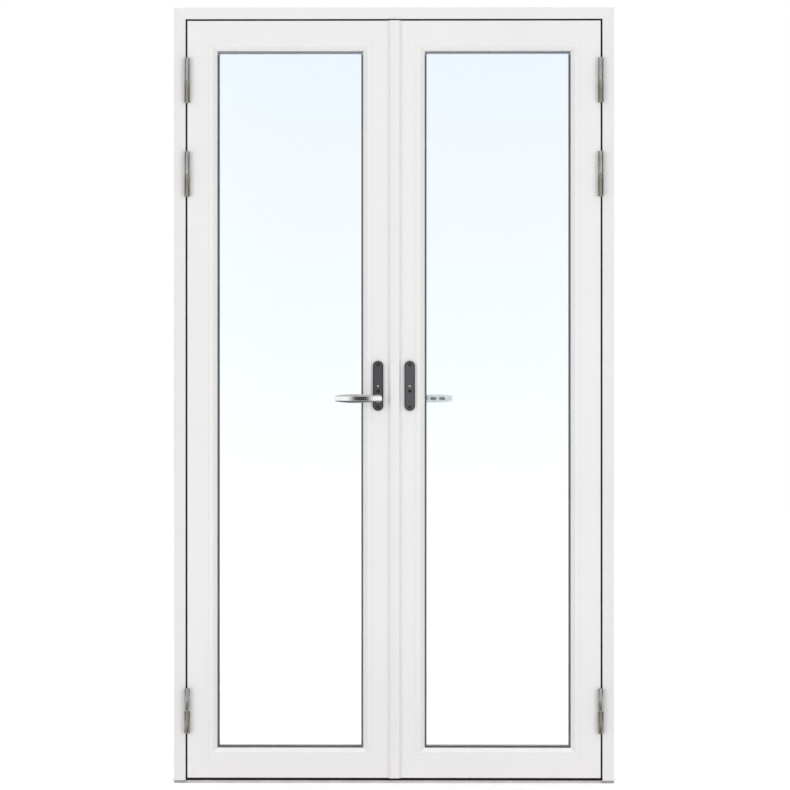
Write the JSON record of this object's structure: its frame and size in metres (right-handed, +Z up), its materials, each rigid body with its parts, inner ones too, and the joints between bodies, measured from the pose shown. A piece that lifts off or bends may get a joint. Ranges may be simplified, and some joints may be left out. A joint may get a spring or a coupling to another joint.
{
  "type": "french doors",
  "caption": "Pair of white glazed outward-opening french doors in their own frame, with aluminium covers on timber, lift-off hinges, lever handles and bolts thrown by a rack and pinion.",
  "frame": {"origin": "middle of the threshold's underside, at mid depth of the frame", "axes": "+X to the right seen from outside, +Y from outside to inside, +Z up"},
  "size_m": [1.18, 0.18, 2.08],
  "materials": {
    "white_cover": "satin white powder coat on aluminium",
    "white_timber": "satin white paint on pine",
    "pane": "clear float glass",
    "black_seal": "matte black rubber",
    "polished_lever": "polished chrome",
    "dark_plate": "satin anthracite paint",
    "threshold_metal": "matte mill aluminium",
    "spacer_metal": "matte aluminium",
    "zinc_steel": "zinc-plated steel"
  },
  "bodies": {
    "frame": {"left_jamb": "white_timber", "right_jamb": "white_timber", "head": "white_timber", "threshold": "threshold_metal", "left_jamb_cover": "white_cover", "right_jamb_cover": "white_cover", "head_cover": "white_cover", "weatherstrip": "black_seal", "left_frame_hinges": "zinc_steel", "right_frame_hinges": "zinc_steel", "hinge_pins": "zinc_steel", "head_keeps": "zinc_steel"},
    "left_leaf": {"left_hinge_stile": "white_timber", "left_meeting_stile": "white_timber", "left_top_rail": "white_timber", "left_bottom_rail": "white_timber", "left_hinge_cover": "white_cover", "left_meeting_cover": "white_cover", "left_top_cover": "white_cover", "left_bottom_cover": "white_cover", "left_outer_pane": "pane", "left_inner_pane": "pane", "left_spacer_bar": "spacer_metal", "left_glazing_gasket": "black_seal", "left_glazing_beads": "white_timber", "left_leaf_hinges": "zinc_steel", "left_outer_plate": "dark_plate", "left_inner_plate": "dark_plate", "left_lock_case": "zinc_steel", "left_meeting_strip": "white_cover", "meeting_seal": "black_seal"},
    "left_lever": {"left_inner_lever": "polished_lever", "left_spindle": "zinc_steel", "left_pinion": "zinc_steel", "left_outer_lever": "polished_lever"},
    "left_upper_bolt": {"left_upper_rod": "zinc_steel"},
    "left_lower_bolt": {"left_lower_rod": "zinc_steel"},
    "right_leaf": {"right_hinge_stile": "white_timber", "right_meeting_stile": "white_timber", "right_top_rail": "white_timber", "right_bottom_rail": "white_timber", "right_hinge_cover": "white_cover", "right_meeting_cover": "white_cover", "right_top_cover": "white_cover", "right_bottom_cover": "white_cover", "right_outer_pane": "pane", "right_inner_pane": "pane", "right_spacer_bar": "spacer_metal", "right_glazing_gasket": "black_seal", "right_glazing_beads": "white_timber", "right_leaf_hinges": "zinc_steel", "right_outer_plate": "dark_plate", "right_inner_plate": "dark_plate", "right_lock_case": "zinc_steel", "right_meeting_strip": "white_cover"},
    "right_lever": {"right_inner_lever": "polished_lever", "right_spindle": "zinc_steel", "right_pinion": "zinc_steel"},
    "right_upper_bolt": {"right_upper_rod": "zinc_steel"},
    "right_lower_bolt": {"right_lower_rod": "zinc_steel"}
  },
  "joints": [
    {"name": "left_leaf_hinge", "type": "hinge", "parent": "frame", "child": "left_leaf", "pos_m": [-0.554, -0.066, 0], "axis": [0, 0, -1], "range_deg": [0, 165]},
    {"name": "left_lever_turn", "type": "hinge", "parent": "left_leaf", "child": "left_lever", "pos_m": [-0.0425, -0.0125, 1.031], "axis": [0, -1, 0], "range_deg": [0, 90]},
    {"name": "left_upper_bolt_slide", "type": "slide", "parent": "left_leaf", "child": "left_upper_bolt", "axis": [0, 0, 1], "range_m": [0, 0.01339]},
    {"name": "left_lower_bolt_slide", "type": "slide", "parent": "left_leaf", "child": "left_lower_bolt", "axis": [0, 0, -1], "range_m": [0, 0.01339]},
    {"name": "right_leaf_hinge", "type": "hinge", "parent": "frame", "child": "right_leaf", "pos_m": [0.554, -0.066, 0], "axis": [0, 0, 1], "range_deg": [0, 165]},
    {"name": "right_lever_turn", "type": "hinge", "parent": "right_leaf", "child": "right_lever", "pos_m": [0.0425, -0.0125, 1.031], "axis": [0, 1, 0], "range_deg": [0, 90]},
    {"name": "right_upper_bolt_slide", "type": "slide", "parent": "right_leaf", "child": "right_upper_bolt", "axis": [0, 0, 1], "range_m": [0, 0.01339]},
    {"name": "right_lower_bolt_slide", "type": "slide", "parent": "right_leaf", "child": "right_lower_bolt", "axis": [0, 0, -1], "range_m": [0, 0.01339]}
  ],
  "couplings": [
    {"joint": "left_upper_bolt_slide", "follows": "left_lever_turn", "m_per_rad": 0.0084},
    {"joint": "left_lower_bolt_slide", "follows": "left_lever_turn", "m_per_rad": 0.0084},
    {"joint": "right_upper_bolt_slide", "follows": "right_lever_turn", "m_per_rad": 0.0084},
    {"joint": "right_lower_bolt_slide", "follows": "right_lever_turn", "m_per_rad": 0.0084}
  ]
}
